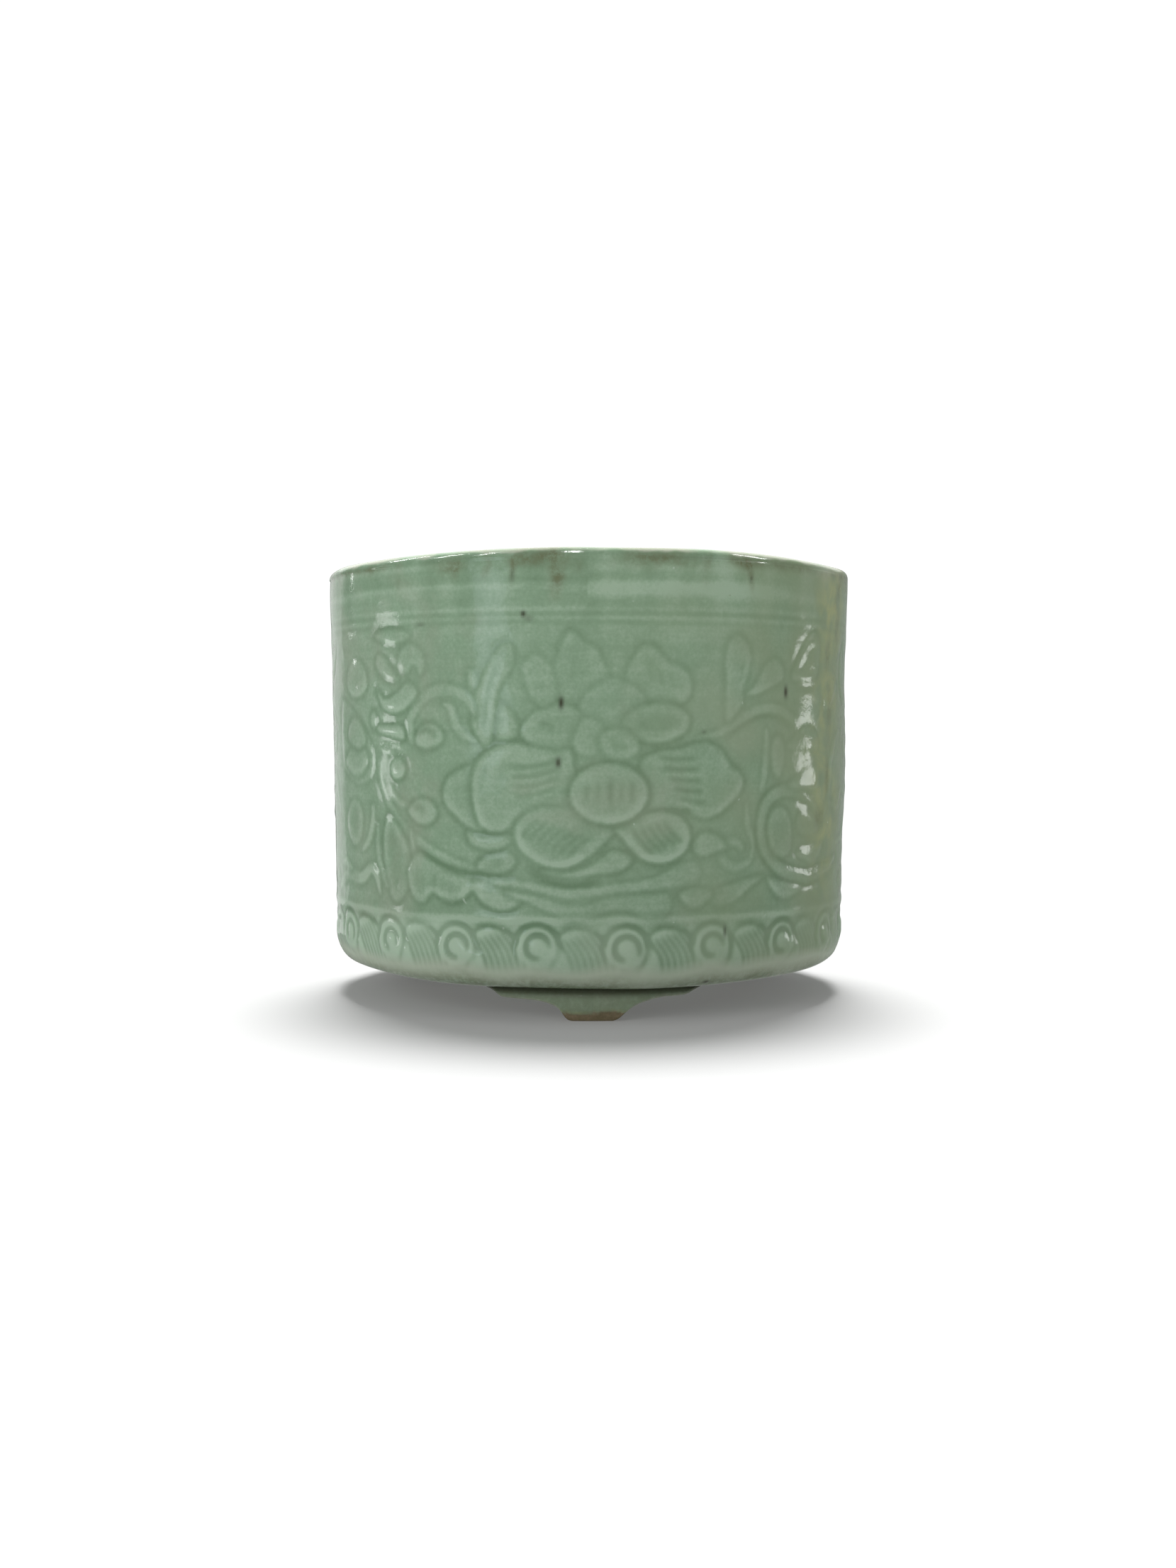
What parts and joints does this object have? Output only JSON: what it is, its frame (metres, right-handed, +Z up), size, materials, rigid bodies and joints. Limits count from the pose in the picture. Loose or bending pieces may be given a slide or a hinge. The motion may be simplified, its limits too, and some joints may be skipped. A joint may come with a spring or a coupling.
{
  "type": "brush pot",
  "caption": "Cylindrical celadon brush pot with rounded lip, carved flower scroll and wave border, standing on bracket feet.",
  "frame": {"origin": "on the table, below the middle of the pot", "axes": "+Z up along the pot's axis; -Y towards the front foot and the middle of the carved flower; +X to the right seen from the front"},
  "size_m": [0.1802, 0.1802, 0.1449],
  "materials": {
    "celadon_glaze": "glossy celadon over carved stoneware, brown iron flecks at the rim",
    "floor_glaze": "glossy celadon, pooled at the edge; bare grey clay with a brown ring underneath",
    "foot_glaze": "grey-green celadon with bare brown treads"
  },
  "bodies": {
    "root": {"vessel_wall": "celadon_glaze", "floor_disc": "floor_glaze", "foot_front": "foot_glaze", "foot_back_right": "foot_glaze", "foot_back_left": "foot_glaze"}
  },
  "joints": []
}
